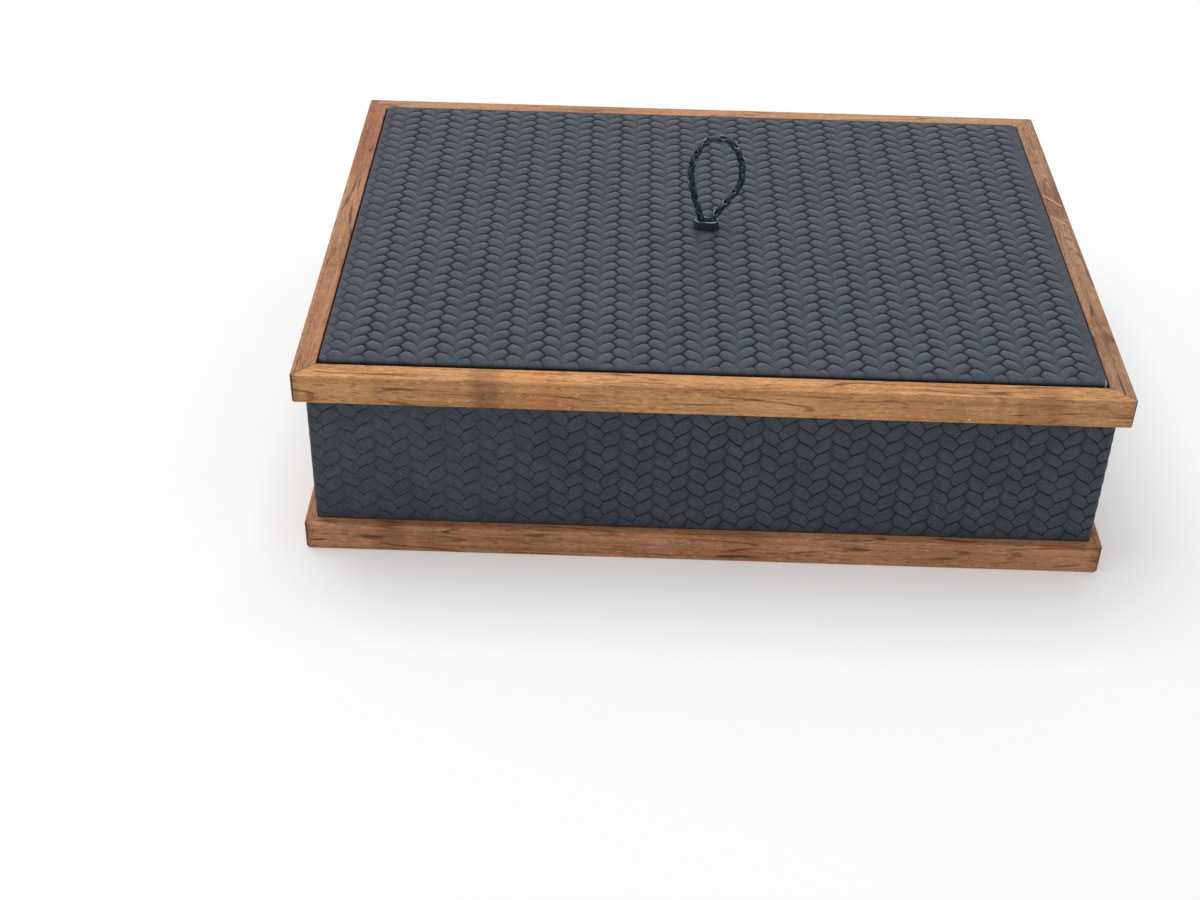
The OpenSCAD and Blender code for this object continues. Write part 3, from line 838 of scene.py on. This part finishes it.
def rail(name, node, body, side, z0, corners, tip, gaps, material):
    """side: 0 front, 1 right, 2 rear, 3 left. tip: how wide the mitre's sharp end is blunted.
    gaps: half of the mitre gap at its left and right end."""
    long, deep = FRAME if side % 2 == 0 else FRAME[::-1]
    a = side * pi / 2
    bm = bmesh.new()
    rings = []
    for f in np.linspace(-1, 1, RAIL_RINGS):
        ring = []
        for s, z in rail_outline(corners, tip):
            end = long / 2 - max(s, tip - s) - (gaps[0] if f < 0 else gaps[1])
            x, y = f * end, -deep / 2 + s
            turned_x, turned_y = x * cos(a) - y * sin(a), x * sin(a) + y * cos(a)
            ring.append(bm.verts.new((turned_x * MM, turned_y * MM, (z0 + z) * MM)))
        rings.append(ring)
    join_rings(bm, rings)
    bm.faces.new(rings[0])
    bm.faces.new(rings[-1])
    obj = mesh_object(name, bm, material, smooth=False)
    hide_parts(node)
    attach(obj, body)


def stroke(m, a, b, width, fine):
    """How strongly a mark from a to b shows: fully along the line between them, with a ragged edge"""
    a, b = np.array(a) * MM, np.array(b) * MM
    run = (b - a) / max(float(np.dot(b - a, b - a)), 1e-12)
    reach = m.node("VectorMath", {0: m.place(), 1: tuple(a)}, operation="SUBTRACT").outputs[0]
    share = m.node("VectorMath", {0: reach, 1: tuple(run)}, operation="DOT_PRODUCT").outputs[1]
    share = m.math("MULTIPLY", share, 1.0, clamp=True)
    foot = m.node("VectorMath", {0: tuple(b - a), 3: share}, operation="SCALE").outputs[0]
    off = m.node("VectorMath", {0: reach, 1: foot}, operation="DISTANCE").outputs[1]
    off = m.math("MULTIPLY_ADD", m.math("SUBTRACT", fine, 0.5), width * MM, off)
    return m.math("MULTIPLY", m.math("SUBTRACT", width * MM, off), 2000 / width, clamp=True)


def wood(name, side, light, dark, seed, figure, marks=()):
    """Long wavy grain lines, short dark pores and a mottled figure across. figure: tints along the rail.
    marks: strokes on it, each from a to b in millimetres, with its width, colour and strength."""
    m = Material(name, roughness=0.45, Specular_IOR_Level=0.16)
    turn = (0, 0, pi / 2) if side % 2 else (0, 0, 0)
    shift = (seed * 1.37, seed * 0.61, seed * 0.83)
    half = FRAME[side % 2] / 2 * MM

    def field(scale, **kind):
        return m.noise(m.place(scale, turn, shift), **kind)
    grain = field((9, 420, 420), detail=4, rough=0.62, warp=0.4)
    fine = field((90, 2300, 2300), detail=3, rough=0.7)
    rings = field((5.5, 70, 70), detail=2, rough=0.45)
    line = m.math("ABSOLUTE", m.math("SUBTRACT", m.math("FRACT", m.math("MULTIPLY", rings, 11.0)), 0.5))
    broken = m.ramp(field((48, 300, 300), detail=2), [(0.42, 0), (0.62, 1)])
    line = m.math("MULTIPLY", m.ramp(line, [(0.0, 1), (0.06, 0.95), (0.13, 0)]), broken)
    pores = m.ramp(field((210, 1100, 1100), detail=2, rough=0.5), [(0.57, 0), (0.66, 1)])
    fleck = m.ramp(field((320, 800, 800), detail=2, rough=0.6), [(0.56, 0), (0.68, 1)])
    mottle = field((70, 45, 45), detail=4, rough=0.6, warp=0.8)
    cloud = field((14, 30, 30), detail=2)
    pale = tuple(min(1, c * 1.35) for c in light)
    deep = tuple(c * 0.28 for c in dark)
    colour = m.mix(m.ramp(grain, [(0.36, 1), (0.60, 0)]), light, dark)
    colour = m.mix(m.math("MULTIPLY", fine, 0.40), colour, dark)
    colour = m.mix(m.ramp(mottle, [(0.40, 0.5), (0.58, 0)]), colour, dark)
    colour = m.mix(m.ramp(cloud, [(0.45, 0), (0.65, 0.35)]), colour, light)
    colour = m.mix(m.math("MULTIPLY", fleck, 0.42), colour, pale)
    colour = m.mix(m.math("MULTIPLY", line, 0.88), colour, deep)
    colour = m.mix(m.math("MULTIPLY", pores, 0.50), colour, deep)
    along = m.node("SeparateXYZ", {"Vector": m.place((1, 1, 1), turn)}).outputs["X"]
    ragged = m.math("ADD", along, m.math("MULTIPLY", m.math("SUBTRACT", fine, 0.5), 12 * MM))
    share = m.math("MULTIPLY_ADD", ragged, 0.5 / half, 0.5)
    colour = m.mix(1.0, colour, m.ramp(share, figure), "MULTIPLY")
    for a, b, width, paint, strength in marks:
        ink = stroke(m, a, b, width, fine)
        colour = m.mix(m.math("MULTIPLY", ink, strength), colour, paint)
    height = m.math("SUBTRACT", m.math("MULTIPLY", grain, 0.35), m.math("ADD", pores, line))
    rough = m.math("MULTIPLY_ADD", mottle, 0.2, 0.38)
    return m.finish(colour, m.bump(height, 0.25, 0.00018), rough)


def at_x(x):
    """A place on a front or rear rail as a share of its length, from its left end"""
    return (x + FRAME[0] / 2) / FRAME[0]


def at_y(y):
    """A place on a side rail as a share of its length, from its rear end"""
    return (FRAME[1] / 2 - y) / FRAME[1]


brown = (0.80, 0.76, 0.76)
plain = [
    (0, 0.6), (0.012, 0.95), (0.2, 1.0), (0.32, (0.86, 0.82, 0.80)), (0.45, 1.0),
    (0.62, (0.95, 0.90, 0.86)), (0.8, 1.0), (0.988, 0.95), (1, 0.6),
]
front_figure = [
    (0, 0.62), (0.010, 0.97), (at_x(-102), 0.97), (at_x(-98), (0.68, 0.64, 0.62)),
    (at_x(-89), (0.70, 0.66, 0.64)), (at_x(-86), 0.98), (at_x(-80), 1.0), (at_x(-76), (1.0, 0.90, 0.84)),
    (at_x(-66), (0.98, 0.88, 0.82)), (at_x(-58), 1.02), (at_x(30), 1.04), (at_x(52), (0.93, 0.90, 0.88)),
    (at_x(66), 1.0), (at_x(84), (0.94, 0.90, 0.88)), (at_x(100), 0.92), (at_x(116.9), 0.94),
    (at_x(117.3), 1.22), (at_x(118.2), (0.86, 0.82, 0.80)), (at_x(125), 0.96), (at_x(131), brown),
    (at_x(143), brown), (at_x(149), 0.94), (0.990, 0.90), (1, 0.7),
]
right_figure = [
    (0, 0.8), (0.02, 1.0), (at_y(62), 1.0), (at_y(52), (0.82, 0.76, 0.74)), (at_y(26), (0.80, 0.76, 0.74)),
    (at_y(20), 0.96), (at_y(-20), 0.98), (at_y(-60), 1.06), (at_y(-70), brown), (at_y(-77), 1.0),
    (at_y(-84), brown), (at_y(-96), (0.86, 0.82, 0.80)), (at_y(-104), 1.0), (0.985, 0.98), (1, 0.8),
]
left_figure = [
    (0, 0.8), (0.02, (0.96, 0.82, 0.80)), (at_y(62), (0.92, 0.78, 0.76)), (at_y(50), (0.84, 0.74, 0.72)),
    (at_y(44), 1.06), (at_y(4), 1.04), (at_y(-1), 0.94), (at_y(-8), 1.0), (at_y(-100), (1.0, 0.95, 0.93)),
    (0.985, (0.97, 0.90, 0.88)), (1, 0.7),
]
base_figure = [
    (0, 0.5), (0.012, 0.95), (at_x(-147), 0.97), (at_x(-141), (0.72, 0.70, 0.72)),
    (at_x(-134), (0.70, 0.68, 0.70)), (at_x(-128), 0.95), (at_x(-120), (0.80, 0.77, 0.76)),
    (at_x(-110), 0.98), (at_x(-90), (0.84, 0.82, 0.78)), (at_x(-70), (0.80, 0.79, 0.76)), (at_x(-60), 0.98),
    (at_x(-20), 1.0), (at_x(10), (0.88, 0.86, 0.84)), (at_x(40), 1.04), (at_x(90), 1.0),
    (at_x(120), (0.92, 0.90, 0.88)), (0.988, 0.95), (1, 0.5),
]
right_marks = [
    ((166.4, 46.1, 92), (173.3, 35.4, 92), 0.55, (0.74, 0.48, 0.30), 0.75),
    ((166.6, 25.0, 92), (171.4, 18.0, 92), 0.5, (0.72, 0.46, 0.28), 0.65),
    ((170.0, 4.0, 92), (172.0, 2.0, 92), 1.1, (0.07, 0.03, 0.015), 0.6),
    ((170.3, -6.0, 92), (170.6, -7.2, 92), 0.8, (0.08, 0.035, 0.02), 0.6),
    ((172.4, -10.0, 92), (173.2, -13.0, 92), 1.2, (0.07, 0.03, 0.015), 0.6),
    ((175.0, -118.0, 90.5), (175.0, -128.0, 91.0), 0.5, (0.80, 0.60, 0.42), 0.8),
]
front_marks = [((107.0, -131, 80.2), (107.3, -131, 80.2), 0.35, (0.95, 0.92, 0.86), 1.0)]

# Light and dark wood of each rail, its figure and its marks
RAIL_WOODS = {
    "lid_front": ((0.78, 0.400, 0.165), (0.46, 0.205, 0.080), front_figure, front_marks),
    "lid_right": ((0.51, 0.290, 0.165), (0.26, 0.130, 0.070), right_figure, right_marks),
    "lid_rear": ((0.66, 0.360, 0.185), (0.42, 0.200, 0.095), plain, ()),
    "lid_left": ((0.52, 0.270, 0.140), (0.31, 0.140, 0.068), left_figure, ()),
    "base_front": ((0.72, 0.340, 0.170), (0.42, 0.180, 0.085), base_figure, ()),
    "base_right": ((0.70, 0.330, 0.165), (0.40, 0.175, 0.083), plain, ()),
    "base_rear": ((0.72, 0.340, 0.170), (0.42, 0.180, 0.085), plain, ()),
    "base_left": ((0.72, 0.330, 0.160), (0.42, 0.175, 0.082), plain, ()),
}
woods = {}
for k, (place, (light, dark, figure, marks)) in enumerate(RAIL_WOODS.items()):
    woods[place] = wood(place + "_wood", k % 4, light, dark, k + 1, figure, marks)
for side, word in enumerate(("front", "right", "rear", "left")):
    rail(f"lid_wood_{word}", f"lid_rail_{word}", "lid", side, RIM_Z, LID_OUTLINE, LID_TIP, LID_GAPS[side],
         woods[f"lid_{word}"])
    rail(f"base_wood_{word}", f"base_rail_{word}", "box", side, 0, BASE_OUTLINE, BASE_TIP, BASE_GAPS,
         woods[f"base_{word}"])

# ---- Boards ----
# The parts that the leather and cloth hide: pale board for the walls, the floor, the lid panel and the
# locating board, sawn from sheet, with a fine fibrous face.
fibre = Material("fibre_board", roughness=0.85)
fibre_speck = fibre.noise(fibre.place((700, 700, 700)), detail=4, rough=0.7)
fibre_cloud = fibre.noise(fibre.place((30, 30, 30)), detail=2)
fibre_colour = fibre.mix(fibre_speck, (0.30, 0.19, 0.10), (0.52, 0.37, 0.22))
fibre_colour = fibre.mix(fibre.math("MULTIPLY", fibre_cloud, 0.3), fibre_colour, (0.36, 0.25, 0.15))
fibre_look = fibre.finish(fibre_colour, fibre.bump(fibre_speck, 0.3, 0.0002))


def dress(look, *nodes):
    """Gives a material to pieces that keep the mesh of their solid"""
    for node in nodes:
        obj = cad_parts[node]
        if obj.material_slots:
            for slot in obj.material_slots:
                slot.material = look
        else:
            obj.data.materials.append(look)


dress(fibre_look, "bottom_board", "wall_front", "wall_rear", "wall_left", "wall_right", "lid_board",
      "plug_board")

# ---- Lining ----
# Grey suede cloth glued over thin boards: four against the walls, one on the floor, one over the locating
# board under the lid, and a sheet of it under the box.
suede = Material("suede_lining", roughness=0.95, Sheen_Weight=0.5, Sheen_Roughness=0.5,
                 Specular_IOR_Level=0.15)
suede_nap = suede.noise(suede.place((900, 900, 900)), detail=5, rough=0.75)
suede_brush = suede.noise(suede.place((45, 16, 45)), detail=3, rough=0.55, warp=0.8)
suede_colour = suede.mix(suede_nap, (0.075, 0.080, 0.088), (0.15, 0.158, 0.17))
suede_colour = suede.mix(suede.ramp(suede_brush, [(0.4, 0), (0.65, 0.35)]), suede_colour,
                         (0.19, 0.20, 0.215))
suede_look = suede.finish(suede_colour, suede.bump(suede_nap, 0.5, 0.0003))
dress(suede_look, "lining_front", "lining_rear", "lining_left", "lining_right", "lining_floor",
      "plug_lining", "base_cover")

# ---- Padding ----
# A thin sheet of soft foam that lies on the lid's board, held there by the leather drawn over it. Its edges
# are rounded, and a slot is cut in it for the sleeve of the pull.
FOAM_HALF = (PANEL[0] - 1.35, PANEL[1] - 1.35)
FOAM_CORNER_R = 2.0
FOAM_BOTTOM_Z, FOAM_TOP_Z = 90.8, 92.2
FOAM_SLOT = (6.2, 3.6)
FOAM_POINTS = 96
# How far in from the foam's outline its top lies, and how high, from the edge to the flat middle
FOAM_EDGE = [(0, FOAM_BOTTOM_Z), (0, 91.3), (0.4, 91.75), (1.2, 91.95), (8, 92.1), (40, FOAM_TOP_Z)]

foam = Material("foam_padding", roughness=1.0, Specular_IOR_Level=0.1)
foam_cells = foam.node("TexVoronoi", {"Vector": foam.place(), "Scale": 1600.0}).outputs["Distance"]
foam_cloud = foam.noise(foam.place((40, 40, 40)), detail=3)
foam_colour = foam.mix(foam_cells, (0.78, 0.75, 0.66), (0.50, 0.47, 0.40))
foam_look = foam.finish(foam.mix(foam.math("MULTIPLY", foam_cloud, 0.3), foam_colour, (0.86, 0.82, 0.70)),
                        foam.bump(foam_cells, 0.6, 0.0004))


def rounded(half_w, half_d, r, count, z):
    """Points round a rectangle with round corners, evenly by angle from its middle"""
    points = []
    for k in range(count):
        a = 2 * pi * (k + 0.5) / count
        t = 1 / max(abs(cos(a)) / half_w, abs(sin(a)) / half_d)
        x, y = t * cos(a), t * sin(a)
        cx, cy = max(-(half_w - r), min(half_w - r, x)), max(-(half_d - r), min(half_d - r, y))
        far = hypot(x - cx, y - cy)
        if far > 1e-9 and abs(x) > half_w - r and abs(y) > half_d - r:
            x, y = cx + (x - cx) / far * r, cy + (y - cy) / far * r
        points.append((x, y, z))
    return points


foam_loops = [rounded(FOAM_HALF[0] - inset, FOAM_HALF[1] - inset, FOAM_CORNER_R, FOAM_POINTS, z)
              for inset, z in FOAM_EDGE]
foam_loops += [stadium(*FOAM_SLOT, FOAM_POINTS, z) for z in (FOAM_TOP_Z, FOAM_BOTTOM_Z)]
foam_pad = mesh_object("foam_pad", lathe(foam_loops), foam_look)
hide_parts("lid_foam")
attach(foam_pad, "lid")

# ---- Knot and disc ----
# Under the board, out of sight: the cord's knot, of the same laces, and the brass disc that it pulls
# against.
knot = Material("knotted_lace", roughness=0.45)
knot_wave = knot.node("TexWave", {"Vector": knot.place((1, 1, 1)), "Scale": 260.0, "Distortion": 1.5},
                      bands_direction="DIAGONAL").outputs["Fac"]
knot_grain = knot.noise(knot.place((2200, 2200, 2200)), detail=3)
knot_colour = knot.mix(knot_wave, (0.012, 0.015, 0.019), (0.055, 0.066, 0.078))
knot_relief = knot.math("ADD", knot_wave, knot_grain)
dress(knot.finish(knot_colour, knot.bump(knot_relief, 0.6, 0.0004)), "pull_knot")
brass = Material("brass_disc", roughness=0.32, Metallic=1.0)
brass_scuff = brass.noise(brass.place((900, 120, 300)), detail=4, rough=0.7)
brass_colour = brass.mix(brass_scuff, (0.62, 0.42, 0.16), (0.78, 0.57, 0.26))
dress(brass.finish(brass_colour, brass.bump(brass_scuff, 0.15, 0.0001)), "pull_washer")
